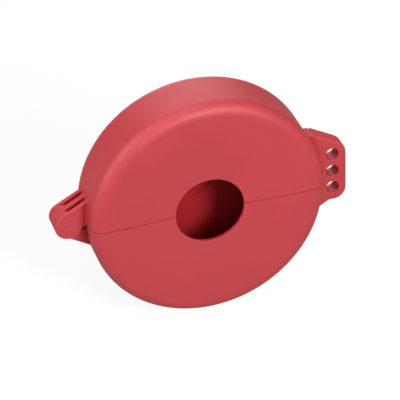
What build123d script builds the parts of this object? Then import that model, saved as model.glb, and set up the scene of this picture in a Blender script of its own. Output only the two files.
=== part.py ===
"""Gate valve handwheel lockout cover: two hinged drum halves with a three-hole padlock hasp.

Frame, in millimetres: the drum's axis, which is the valve stem's axis, is Y. The face with the
stem opening looks towards -Y, the hinge is at -X, the padlock hasp at +X and +Z is up. The origin
is the drum's centre, on the parting plane between the two halves (z = 0).
"""
import os
from math import acos, atan2, cos, hypot, sin, sqrt

from build123d import *

# Drum
OUTER_RADIUS = 88.0
DEPTH = 48.0
WALL = 2.5
EDGE_RADIUS = 9.0
PARTING_GAP = 0.6

# Faces: a flat outer ring, then a shallow dish down to a flat centre
DISH_RADIUS = 70.0
DISH_DEPTH = 1.4
STEM_OPENING_RADIUS = 26.0

# Knock-out disc in the rear face, held by a thin web under a V-shaped groove
KNOCKOUT_RADIUS = 13.5
GROOVE_HALF_WIDTH = 0.9
WEB_THICKNESS = 1.0

# Hinge: upper and lower ears take turns along Y, round one pin
HINGE_X = -101.1
EAR_RADIUS = 10.2
EAR_FRONT_Y = -7.3
EAR_WIDTHS = (3.1, 3.4, 4.4, 3.4, 3.4)
EAR_GAP = 0.25
EAR_EDGE = 0.7
NOTCH_RADIUS = 0.8
UPPER_TIP_Z = 19.4
LOWER_TIP_Z = -21.8
UPPER_NOTCH_Z = -2.0
LOWER_NOTCH_Z = -6.6
ROOT_FILLET = 1.4
RIM_CLEARANCE = 0.4
DIMPLE_RADIUS = 3.0
DIMPLE_DEPTH = 0.25
PIN_RADIUS = 2.0
PIN_CLEARANCE = 0.05
PIN_COVER = 1.2
PIN_CHAMFER = 0.4

# Hasp: the upper half's plate lies in front of the lower half's plate
FRONT_PLATE_Y = (-4.3, 1.9)
REAR_PLATE_Y = (2.9, 6.9)
PLATE_X = 111.3
PLATE_SLOPE = 0.56
SLOPE_X = 91.0
TOP_EDGE_Z = 31.3
BOTTOM_EDGE_Z = -36.0
SHOULDER_Z = 34.6
FREE_END_Z = -26.2
TOP_OUTER_RADIUS = 12.5
BOTTOM_OUTER_RADIUS = 9.5
FREE_CORNER_RADIUS = 4.0
TOP_CORNER_RADIUS = 0.8
FRONT_PLATE_EDGE = 1.8
REAR_PLATE_EDGE = 1.1
FACING_EDGE = 0.4
FRONT_SWING_GAP = 3.2
REAR_SWING_GAP = 0.5
ROOT_RIB_Z = (15.0, 33.7)
HOLE_X = 100.3
HOLE_Z = (-14.9, -0.6, 13.7)
HOLE_RADIUS = 4.95
HOLE_EDGE = 0.4

# The hinge axis to the far side of the rim: what the free end of a plate must stay clear of
SWING_RADIUS = OUTER_RADIUS - HINGE_X

# Depth inside the rim at which what is fused to a shell ends, and a size past every surface
ROOT_RADIUS = OUTER_RADIUS - WALL / 2
FAR = 300.0
UPPER = 1
LOWER = -1


def half_space(side):
    """Everything on one half's side of the parting gap."""
    return Pos(0, 0, side * (FAR + PARTING_GAP) / 2) * Box(FAR * 2, FAR, FAR)


def prism_y(outline, start, end):
    """An outline in X and Z, made solid along Y from start to end."""
    return extrude(Plane.XZ.offset(-start) * outline, end - start, dir=(0, 1, 0))


def cylinder_y(x, z, radius, start, end):
    """A cylinder along Y from start to end."""
    return prism_y(Pos(x, z) * Circle(radius), start, end)


def drum(inset):
    """The closed drum at one depth inside its outer surface, revolved about Y."""
    face_y = DEPTH / 2 - inset
    centre_y = face_y - DISH_DEPTH
    rim = OUTER_RADIUS - inset
    bend = EDGE_RADIUS - inset
    with BuildPart() as body:
        with BuildSketch(Plane.XY):
            with BuildLine():
                Polyline((0, 0), (0, centre_y), (STEM_OPENING_RADIUS, centre_y))
                TangentArc((DISH_RADIUS, face_y), (STEM_OPENING_RADIUS, centre_y), tangent=(-1, 0))
                Line((DISH_RADIUS, face_y), (rim - bend, face_y))
                RadiusArc((rim - bend, face_y), (rim, face_y - bend), bend)
                Line((rim, face_y - bend), (rim, 0))
                mirror(about=Plane.XZ)
            make_face()
        revolve(axis=Axis.Y)
    return body.part


def knockout(side):
    """Solid of revolution through the rear wall, its groove flank leaning to one side."""
    outer_y = DEPTH / 2 - DISH_DEPTH
    web_y = outer_y - WEB_THICKNESS
    inner_y = outer_y - WALL
    flank = KNOCKOUT_RADIUS + side * GROOVE_HALF_WIDTH
    section = Polyline(
        (0, outer_y),
        (KNOCKOUT_RADIUS, outer_y),
        (KNOCKOUT_RADIUS, web_y),
        (flank, inner_y),
        (0, inner_y),
        close=True,
    )
    return revolve(make_face(section), axis=Axis.Y)


def drum_wall():
    """Both halves' drum wall in one, with its stem opening and its knock-out's hole."""
    opening = cylinder_y(0, 0, STEM_OPENING_RADIUS, -DEPTH, 0)
    return drum(0) - drum(WALL) - opening - knockout(1)


def ear_outline(tip_z, notch_z):
    """Round eye on the hinge axis with a web to the rim, from notch_z to a tangent up to tip_z."""
    side = UPPER if tip_z > 0 else LOWER
    tip_x = -sqrt(OUTER_RADIUS**2 - tip_z**2)
    reach = hypot(tip_x - HINGE_X, tip_z)
    turn = atan2(abs(tip_z), tip_x - HINGE_X) + acos(EAR_RADIUS / reach)
    touch = (HINGE_X + EAR_RADIUS * cos(turn), side * EAR_RADIUS * sin(turn))
    inner = (2 * tip_x - touch[0], 2 * tip_z - touch[1])
    notch = (HINGE_X + sqrt(EAR_RADIUS**2 - notch_z**2), notch_z)
    web = Polyline(notch, (inner[0], notch_z), inner, touch)
    eye = ThreePointArc(touch, (HINGE_X - EAR_RADIUS, 0), notch)
    outline = make_face(web + eye)
    return fillet(outline.vertices().sort_by_distance(notch)[0], NOTCH_RADIUS)


def ear(tip_z, notch_z, start, end):
    """One hinge ear with rounded edges, sunk into the rim."""
    body = prism_y(ear_outline(tip_z, notch_z), start, end)
    body = fillet(body.faces().filter_by(Axis.Y).edges(), EAR_EDGE)
    return body - cylinder_y(0, 0, ROOT_RADIUS, start, end)


def ear_spans(first):
    """The Y spans of every second ear, counted from first."""
    spans = []
    start = EAR_FRONT_Y
    for width in EAR_WIDTHS:
        spans.append((start, start + width))
        start += width + EAR_GAP
    return spans[first::2]


def slope_z(x, edge_z):
    """Height of a plate's sloping edge, which passes edge_z at SLOPE_X."""
    fall = -PLATE_SLOPE if edge_z > 0 else PLATE_SLOPE
    return edge_z + fall * (x - SLOPE_X)


def top_points():
    """The top edge of both plates, from inside the rim to the outer corner."""
    shoulder_x = SLOPE_X - (SHOULDER_Z - TOP_EDGE_Z) / PLATE_SLOPE
    return [(0, SHOULDER_Z), (shoulder_x, SHOULDER_Z), (PLATE_X, slope_z(PLATE_X, TOP_EDGE_Z))]


def corner_edges(body, low_x, low_z, high_z):
    """A prism's edges along Y that lie past low_x, between two heights."""
    edges = body.edges().filter_by(Axis.Y)
    return edges.filter_by_position(Axis.X, low_x, FAR).filter_by_position(Axis.Z, low_z, high_z)


def round_outer_corners(body):
    """A plate with the two corners of its outer end rounded."""
    body = fillet(corner_edges(body, PLATE_X - 1, 0, FAR), TOP_OUTER_RADIUS)
    return fillet(corner_edges(body, PLATE_X - 1, -FAR, 0), BOTTOM_OUTER_RADIUS)


def swing_disc(gap):
    """Disc about the hinge axis that holds all that the swinging half sweeps."""
    return Pos(HINGE_X, 0) * Circle(SWING_RADIUS + gap)


def half_plane(side, z):
    """All of the X-Z plane above (UPPER) or below (LOWER) a height."""
    return Pos(0, z + side * FAR / 2) * Rectangle(FAR * 2, FAR)


def front_plate():
    """Upper half's plate: rooted above the parting plane, with its free end below it."""
    outline = Polygon(*top_points(), (PLATE_X, FREE_END_Z), (0, FREE_END_Z), align=None)
    outline -= swing_disc(FRONT_SWING_GAP) & half_plane(LOWER, PARTING_GAP / 2)
    body = prism_y(outline, *FRONT_PLATE_Y)
    body = round_outer_corners(body)
    body = fillet(corner_edges(body, OUTER_RADIUS, FREE_END_Z - 1, FREE_END_Z + 1), FREE_CORNER_RADIUS)
    return finished_plate(body, FRONT_PLATE_Y, 0, FRONT_PLATE_EDGE)


def rear_plate():
    """Lower half's plate: rooted below the parting plane, with its free end above it."""
    low_right = (PLATE_X, slope_z(PLATE_X, BOTTOM_EDGE_Z))
    outline = Polygon(*top_points(), low_right, (0, slope_z(0, BOTTOM_EDGE_Z)), align=None)
    outline -= swing_disc(REAR_SWING_GAP) & half_plane(UPPER, -PARTING_GAP / 2)
    body = prism_y(outline, *REAR_PLATE_Y)
    body = round_outer_corners(body)
    body = fillet(corner_edges(body, 0, SHOULDER_Z - 2, FAR), TOP_CORNER_RADIUS)
    return finished_plate(body, REAR_PLATE_Y, -1, REAR_PLATE_EDGE)


def finished_plate(body, span, outer_face, edge_radius):
    """The plate with its outer face's edge rounded and its other broken, cut off inside the rim."""
    outer = body.faces().filter_by(Axis.Y).sort_by(Axis.Y)[outer_face]
    body = fillet(outer.edges(), edge_radius)
    facing = body.faces().filter_by(Axis.Y).sort_by(Axis.Y)[-1 - outer_face]
    body = chamfer(facing.edges(), FACING_EDGE)
    return body - cylinder_y(0, 0, ROOT_RADIUS, *span)


def root_rib():
    """Rib on the upper half's rim behind its plate's root, inside what the half sweeps."""
    low, high = ROOT_RIB_Z
    outline = Pos(OUTER_RADIUS, (low + high) / 2) * Rectangle(OUTER_RADIUS, high - low)
    rib = prism_y(outline & swing_disc(0), *REAR_PLATE_Y)
    return rib - cylinder_y(0, 0, ROOT_RADIUS, *REAR_PLATE_Y)


def shackle_holes():
    """The three padlock holes, as cutters through both plates."""
    start = FRONT_PLATE_Y[0] - 1
    end = REAR_PLATE_Y[1] + 1
    return [cylinder_y(HOLE_X, z, HOLE_RADIUS, start, end) for z in HOLE_Z]


def round_hole_edges(body, outer_y):
    """Break the padlock holes' edges on the plate's outer face."""
    edges = body.edges().filter_by(GeomType.CIRCLE)
    edges = [e for e in edges if abs(e.radius - HOLE_RADIUS) < 0.01 and abs(e.center().Y - outer_y) < 0.01]
    return fillet(edges, HOLE_EDGE)


def dimple():
    """Shallow ball-shaped mark in the front ear, over the pin's blind end."""
    ball = (DIMPLE_RADIUS**2 + DIMPLE_DEPTH**2) / (2 * DIMPLE_DEPTH)
    return Pos(HINGE_X, EAR_FRONT_Y + DIMPLE_DEPTH - ball, 0) * Sphere(ball)


def pin_bore(clearance):
    """Space for the hinge pin, from its blind end out through the rear ear."""
    return cylinder_y(HINGE_X, 0, PIN_RADIUS + clearance, EAR_FRONT_Y + PIN_COVER, DEPTH)


def root_edges(body):
    """The edges where ears meet the rim's outer surface."""
    def on_rim(edge):
        return all(abs(hypot(v.X, v.Z) - OUTER_RADIUS) < 0.01 for v in edge.vertices())

    first = EAR_FRONT_Y - EAR_GAP
    last = ear_spans(0)[-1][1] + EAR_GAP
    edges = body.edges().filter_by_position(Axis.Y, first, last)
    return edges.filter_by_position(Axis.X, -FAR, HINGE_X / 2).filter_by(on_rim)


def beyond_parting(side, clearance, start=-DEPTH, end=DEPTH):
    """What a half leaves to the other: the other's side, up to a clearance outside the rim."""
    return cylinder_y(0, 0, OUTER_RADIUS + clearance, start, end) - half_space(side)


def upper_shell():
    """Upper half moulding: drum half, three ears that grip the pin, front hasp plate."""
    body = drum_wall()
    front, *others = ear_spans(0)
    body += ear(UPPER_TIP_Z, UPPER_NOTCH_Z, *front) - dimple()
    for span in others:
        body += ear(UPPER_TIP_Z, UPPER_NOTCH_Z, *span)
    body = fillet(root_edges(body), ROOT_FILLET)
    body -= beyond_parting(UPPER, RIM_CLEARANCE)
    for start, end in ear_spans(1):
        body -= beyond_parting(UPPER, ROOT_FILLET + EAR_GAP, start - EAR_GAP, end + EAR_GAP)
    body += front_plate()
    body += root_rib()
    body -= shackle_holes()
    body = round_hole_edges(body, FRONT_PLATE_Y[0])
    return body - pin_bore(0)


def lower_shell():
    """Lower half moulding: drum half, two ears that turn on the pin, rear hasp plate."""
    body = drum_wall()
    for span in ear_spans(1):
        body += ear(LOWER_TIP_Z, LOWER_NOTCH_Z, *span)
    body -= beyond_parting(LOWER, ROOT_FILLET + EAR_GAP)
    body += rear_plate()
    body -= shackle_holes()
    body = round_hole_edges(body, REAR_PLATE_Y[1])
    return body - pin_bore(PIN_CLEARANCE)


def hinge_pin():
    """Plain steel pin with chamfered ends, flush with the rear ear."""
    start = EAR_FRONT_Y + PIN_COVER
    end = ear_spans(0)[-1][1]
    pin = cylinder_y(HINGE_X, 0, PIN_RADIUS, start, end)
    return chamfer(pin.edges().filter_by(GeomType.CIRCLE), PIN_CHAMFER)


def half_knockout(side):
    """One half of the knock-out disc, which breaks out of its half's rear wall."""
    return knockout(-1) & half_space(side)


PARTS = {
    "upper_shell": upper_shell,
    "lower_shell": lower_shell,
    "hinge_pin": hinge_pin,
    "upper_knockout": lambda: half_knockout(UPPER),
    "lower_knockout": lambda: half_knockout(LOWER),
}

os.makedirs("parts", exist_ok=True)
for name, make in PARTS.items():
    export_step(make(), f"parts/{name}.step")
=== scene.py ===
"""Looks of the valve handwheel lockout cover: moulded red plastic, a steel hinge pin and the studio."""
import math

import bmesh
import bpy
from mathutils import Matrix, Vector


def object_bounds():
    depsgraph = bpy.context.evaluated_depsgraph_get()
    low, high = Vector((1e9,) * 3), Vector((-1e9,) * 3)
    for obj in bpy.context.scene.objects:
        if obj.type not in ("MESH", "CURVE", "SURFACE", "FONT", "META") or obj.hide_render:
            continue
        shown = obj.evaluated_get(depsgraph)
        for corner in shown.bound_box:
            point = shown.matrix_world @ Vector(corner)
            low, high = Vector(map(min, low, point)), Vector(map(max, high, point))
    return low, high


# Lengths are in metres, angles in degrees and colours linear, unless a comment says otherwise.

# Camera: where it stands as seen from the origin, its roll, and how far it is shifted sideways and up
VIEW_AZIMUTH = -16.66
VIEW_ELEVATION = 33.85
VIEW_ROLL = -2.30
VIEW_DISTANCE = 1.854
VIEW_SHIFT_RIGHT = -0.0004
VIEW_SHIFT_UP = -0.0043
SENSOR_WIDTH_MM = 36.0
LENS_MM = 229.8
CLIP_START = 0.01

# Studio
SOFTBOX_DISTANCE = 1.3
SOFTBOXES = {
    # name: (azimuth, elevation, size, power in watts)
    "key": (20, 26, 0.45, 11.5),
    "front": (-20, 24, 0.7, 2.0),
    "left_low": (-83, 22, 0.9, 7.0),
    "left_high": (-75, 50, 0.8, 4.0),
    "top": (-3, 88, 0.6, 3.2),
    "back": (166, 36, 0.9, 3.8),
    "back_left": (-150, 50, 0.9, 0.8),
    "right": (62, 48, 0.6, 1.4),
    "rear": (172, 6, 0.8, 4.5),
}
WHITE = (1, 1, 1, 1)
BLACK = (0, 0, 0, 1)
SURROUNDINGS_GLOW = 0.1
STUDIO_RADIUS = 12.0
FLOOR_COLOUR = (0.25, 0.25, 0.25, 1)
FLOOR_GLOW = 0.78
FLOOR_FILL_GLOW = 0.4
BACKDROP_GLOW = 1.0

# Noise textures: cycles per metre and detail. A noise value is mostly within NOISE_RANGE.
NOISE_RANGE = (0.3, 0.7)
CLOUDS = (22, 3)
GLOSS_PATCHES = (60, 4)
EDGE_HIGHLIGHT_PATCHES = (180, 4)
MOULD_GRAIN = (1800, 2)
DRAWN_MARKS = (4000, 3)

# Plastic
PLASTIC_RED = (0.56, 0.039, 0.051, 1)
CLOUD_SHADES = (0.965, 1.035)
PLASTIC_ROUGHNESS = (0.5, 0.58)
PLASTIC_SPECULAR = 0.75
GRAIN_STRENGTH = 0.15
GRAIN_DEPTH = 0.00005

# Its edges get a painted highlight: the normals' cosine where the painted highlight starts and where it
# is full, and how strong it then is
EDGE_SOFTNESS = 0.00025
EDGE_SAMPLES = 6
EDGE_HIGHLIGHT_RED = (0.66, 0.11, 0.13, 1)
EDGE_HIGHLIGHT_COSINES = (0.98, 0.8)
EDGE_HIGHLIGHT_AMOUNT = (0.0, 0.3)

# Painted shade in its recesses and on the inside of the drum, which counts as a recess in part: a
# darker red there and less gloss
RECESS_SHADE_RED = (0.48, 0.005, 0.010, 1)
RECESS_SPECULAR = 0.1
RECESS_REACH = 0.008
RECESS_SAMPLES = 8
DEEP_OPENNESS = 0.4
INSIDE_SHADE = 0.5
CAVITY_RADIUS = 0.0857
CAVITY_HALF_DEPTH = 0.0216
CAVITY_CORNER = 0.105  # limit of radius plus depth, which leaves out the drum's rounded outer edge

# Pin
PIN_STEEL = (0.55, 0.55, 0.57, 1)
PIN_ROUGHNESS = (0.28, 0.42)
MARK_STRETCH = (1, 0.04, 1)

PLASTIC_NODES = ("upper_shell", "lower_shell", "upper_knockout", "lower_knockout")


def direction(azimuth, elevation):
    """Unit vector from the origin; azimuth 0 is the front (-Y) and 90 the hasp side (+X)."""
    azimuth = math.radians(azimuth)
    elevation = math.radians(elevation)
    flat = math.cos(elevation)
    return Vector((math.sin(azimuth) * flat, -math.cos(azimuth) * flat, math.sin(elevation)))


def add_object(name, data):
    obj = bpy.data.objects.new(name, data)
    bpy.context.scene.collection.objects.link(obj)
    return obj


def add_camera():
    """The camera at the product view's angle, shifted a little off the object's centre."""
    back = direction(VIEW_AZIMUTH, VIEW_ELEVATION)
    level = direction(VIEW_AZIMUTH + 90, 0)
    right = Matrix.Rotation(math.radians(VIEW_ROLL), 3, back) @ level
    up = back.cross(right)
    camera = add_object("camera", bpy.data.cameras.new("camera"))
    axes = Matrix((right, up, back)).transposed().to_4x4()
    place = back * VIEW_DISTANCE + right * VIEW_SHIFT_RIGHT + up * VIEW_SHIFT_UP
    camera.matrix_world = Matrix.Translation(place) @ axes
    camera.data.sensor_width = SENSOR_WIDTH_MM
    camera.data.lens = LENS_MM
    camera.data.clip_start = CLIP_START
    bpy.context.scene.camera = camera


def add_softbox(name, azimuth, elevation, size, power):
    """Square softbox that looks at the origin."""
    light = bpy.data.lights.new(name, "AREA")
    light.shape = "SQUARE"
    light.size = size
    light.energy = power
    obj = add_object(name, light)
    away = direction(azimuth, elevation)
    obj.location = away * SOFTBOX_DISTANCE
    obj.rotation_euler = away.to_track_quat("Z", "Y").to_euler()
    obj.visible_camera = False


def new_material(name):
    """Material with its node tree and its Principled shader."""
    material = bpy.data.materials.new(name)
    material.use_nodes = True
    return material, material.node_tree, material.node_tree.nodes["Principled BSDF"]


def disc(form, height):
    """Round floor."""
    bmesh.ops.create_circle(form, cap_ends=True, segments=64, radius=STUDIO_RADIUS,
                            matrix=Matrix.Translation((0, 0, height)))


def ball(form, height):
    """Ball round the whole studio."""
    bmesh.ops.create_uvsphere(form, u_segments=64, v_segments=32, radius=STUDIO_RADIUS,
                              matrix=Matrix.Translation((0, 0, height)))


def stage_piece(name, shape, height, colour, glow):
    """Staged piece of the studio, matte and evenly glowing white."""
    material, _, shader = new_material(name)
    shader.inputs["Base Color"].default_value = colour
    shader.inputs["Roughness"].default_value = 1.0
    shader.inputs["Specular IOR Level"].default_value = 0.0
    shader.inputs["Emission Color"].default_value = WHITE
    shader.inputs["Emission Strength"].default_value = glow
    mesh = bpy.data.meshes.new(name)
    mesh.materials.append(material)
    form = bmesh.new()
    shape(form, height)
    form.to_mesh(mesh)
    form.free()
    obj = add_object(name, mesh)
    return obj


def add_studio(lowest):
    """Dim white surroundings, the softboxes, the floor, its fill light and the backdrop."""
    scene = bpy.context.scene
    scene.view_settings.view_transform = "Standard"
    world = bpy.data.worlds.new("white")
    scene.world = world
    world.use_nodes = True
    background = world.node_tree.nodes["Background"]
    background.inputs["Color"].default_value = WHITE
    background.inputs["Strength"].default_value = SURROUNDINGS_GLOW
    world.cycles_visibility.diffuse = False
    for name, settings in SOFTBOXES.items():
        add_softbox(name, *settings)

    # The camera sees the floor, with the object's shadow on it, but the object doesn't
    floor = stage_piece("floor", disc, lowest, FLOOR_COLOUR, FLOOR_GLOW)
    floor.visible_diffuse = False
    floor.visible_glossy = False

    # The object sees the fill instead, which lights and reflects less than the floor would
    fill = stage_piece("floor_fill", disc, lowest, BLACK, FLOOR_FILL_GLOW)
    fill.visible_camera = False
    fill.visible_transmission = False
    fill.visible_shadow = False

    # Only the camera sees the backdrop, beyond the floor
    backdrop = stage_piece("backdrop", ball, lowest, BLACK, BACKDROP_GLOW)
    backdrop.visible_diffuse = False
    backdrop.visible_glossy = False
    backdrop.visible_transmission = False
    backdrop.visible_shadow = False


def feed(tree, socket, value):
    """Give a socket a plain value, or link another node's output to it."""
    if isinstance(value, bpy.types.NodeSocket):
        tree.links.new(value, socket)
    else:
        socket.default_value = value


def math_node(tree, operation, *values):
    node = tree.nodes.new("ShaderNodeMath")
    node.operation = operation
    for socket, value in zip(node.inputs, values):
        feed(tree, socket, value)
    return node.outputs["Value"]


def map_range(tree, value, start, end, low, high):
    """Value stretched and clamped, so that start to end becomes low to high."""
    node = tree.nodes.new("ShaderNodeMapRange")
    feed(tree, node.inputs["Value"], value)
    feed(tree, node.inputs["From Min"], start)
    feed(tree, node.inputs["From Max"], end)
    feed(tree, node.inputs["To Min"], low)
    feed(tree, node.inputs["To Max"], high)
    return node.outputs["Result"]


def blend(tree, factor, first, second):
    """Mix of two colours: the first at factor 0, the second at 1."""
    mix = tree.nodes.new("ShaderNodeMix")
    mix.data_type = "RGBA"
    feed(tree, mix.inputs["Factor"], factor)
    feed(tree, mix.inputs["A"], first)
    feed(tree, mix.inputs["B"], second)
    return mix.outputs["Result"]


def noise(tree, position, texture):
    node = tree.nodes.new("ShaderNodeTexNoise")
    node.inputs["Scale"].default_value, node.inputs["Detail"].default_value = texture
    feed(tree, node.inputs["Vector"], position)
    return node.outputs["Fac"]


def patches(tree, position, texture, low, high):
    """Noise that goes from low to high."""
    return map_range(tree, noise(tree, position, texture), *NOISE_RANGE, low, high)


def shade(colour, factor):
    """Colour made lighter or darker, with its alpha kept."""
    return (*[channel * factor for channel in colour[:3]], colour[3])


def painted_edge_highlight(tree, position, softened):
    """Painted highlight along sharp edges only, in uneven patches: how strongly an edge is lightened.
    """
    cosine = tree.nodes.new("ShaderNodeVectorMath")
    cosine.operation = "DOT_PRODUCT"
    feed(tree, cosine.inputs[0], softened)
    feed(tree, cosine.inputs[1], tree.nodes.new("ShaderNodeNewGeometry").outputs["Normal"])
    strength = patches(tree, position, EDGE_HIGHLIGHT_PATCHES, *EDGE_HIGHLIGHT_AMOUNT)
    return map_range(tree, cosine.outputs["Value"], *EDGE_HIGHLIGHT_COSINES, 0.0, strength)


def inside_drum(tree, position):
    """1 on the inner surfaces of the drum and 0 elsewhere."""
    parts = tree.nodes.new("ShaderNodeSeparateXYZ")
    feed(tree, parts.inputs["Vector"], position)
    across = math_node(tree, "MULTIPLY", parts.outputs["X"], parts.outputs["X"])
    upward = math_node(tree, "MULTIPLY", parts.outputs["Z"], parts.outputs["Z"])
    radius = math_node(tree, "SQRT", math_node(tree, "ADD", across, upward))
    depth = math_node(tree, "ABSOLUTE", parts.outputs["Y"])
    within = math_node(tree, "LESS_THAN", radius, CAVITY_RADIUS)
    shallow = math_node(tree, "LESS_THAN", depth, CAVITY_HALF_DEPTH)
    corner = math_node(tree, "LESS_THAN", math_node(tree, "ADD", radius, depth), CAVITY_CORNER)
    return math_node(tree, "MULTIPLY", math_node(tree, "MULTIPLY", within, shallow), corner)


def open_air(tree, position):
    """Mask for painted shade: 1 on open surfaces, and less in narrow recesses and all over the inside
    of the drum.
    """
    recess = tree.nodes.new("ShaderNodeAmbientOcclusion")
    recess.samples = RECESS_SAMPLES
    recess.only_local = True
    recess.inputs["Distance"].default_value = RECESS_REACH
    indoors = math_node(tree, "MULTIPLY_ADD", inside_drum(tree, position), -INSIDE_SHADE, 1.0)
    return math_node(tree, "MINIMUM", recess.outputs["AO"], indoors)


def moulded_plastic():
    """Satin red plastic: flow clouds, mould grain, softened edges with a painted highlight, and painted
    shade with duller gloss in recesses and inside the drum.
    """
    material, tree, shader = new_material("moulded_plastic")
    position = tree.nodes.new("ShaderNodeTexCoord").outputs["Object"]
    openness = open_air(tree, position)
    bevel = tree.nodes.new("ShaderNodeBevel")
    bevel.samples = EDGE_SAMPLES
    bevel.inputs["Radius"].default_value = EDGE_SOFTNESS
    softened = bevel.outputs["Normal"]

    dark, pale = (shade(PLASTIC_RED, factor) for factor in CLOUD_SHADES)
    clouds = blend(tree, patches(tree, position, CLOUDS, 0.0, 1.0), dark, pale)
    # Painted highlight: sharp edges are lightened towards a pale red
    edge_lit = blend(tree, painted_edge_highlight(tree, position, softened), clouds, EDGE_HIGHLIGHT_RED)
    # Painted shade: recesses and the drum's inside are darkened towards a deep red
    feed(tree, shader.inputs["Base Color"], blend(tree, openness, RECESS_SHADE_RED, edge_lit))

    roughness = patches(tree, position, GLOSS_PATCHES, *PLASTIC_ROUGHNESS)
    feed(tree, shader.inputs["Roughness"], roughness)
    # Less gloss where the painted shade lies
    specular = map_range(tree, openness, DEEP_OPENNESS, 1.0, RECESS_SPECULAR, PLASTIC_SPECULAR)
    feed(tree, shader.inputs["Specular IOR Level"], specular)

    bump = tree.nodes.new("ShaderNodeBump")
    bump.inputs["Strength"].default_value = GRAIN_STRENGTH
    bump.inputs["Distance"].default_value = GRAIN_DEPTH
    feed(tree, bump.inputs["Height"], noise(tree, position, MOULD_GRAIN))
    feed(tree, bump.inputs["Normal"], softened)
    feed(tree, shader.inputs["Normal"], bump.outputs["Normal"])
    return material


def drawn_steel():
    """Plain steel rod with fine marks along its length."""
    material, tree, shader = new_material("drawn_steel")
    shader.inputs["Base Color"].default_value = PIN_STEEL
    shader.inputs["Metallic"].default_value = 1.0
    stretch = tree.nodes.new("ShaderNodeMapping")
    stretch.inputs["Scale"].default_value = MARK_STRETCH
    feed(tree, stretch.inputs["Vector"], tree.nodes.new("ShaderNodeTexCoord").outputs["Object"])
    roughness = patches(tree, stretch.outputs["Vector"], DRAWN_MARKS, *PIN_ROUGHNESS)
    feed(tree, shader.inputs["Roughness"], roughness)
    return material


def finish_node(obj, material):
    """Give a CAD node its material, in place of what it was packed with."""
    obj.data.materials.clear()
    obj.data.materials.append(material)


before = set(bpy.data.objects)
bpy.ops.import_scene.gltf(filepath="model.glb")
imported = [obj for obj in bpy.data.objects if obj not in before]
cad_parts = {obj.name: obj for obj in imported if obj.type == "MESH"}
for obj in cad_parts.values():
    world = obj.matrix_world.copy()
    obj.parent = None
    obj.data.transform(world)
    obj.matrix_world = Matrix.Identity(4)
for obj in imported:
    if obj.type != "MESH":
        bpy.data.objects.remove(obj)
cad_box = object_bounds()
add_camera()
add_studio(cad_box[0][2])
plastic = moulded_plastic()
for node_name in PLASTIC_NODES:
    finish_node(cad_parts[node_name], plastic)
finish_node(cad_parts["hinge_pin"], drawn_steel())
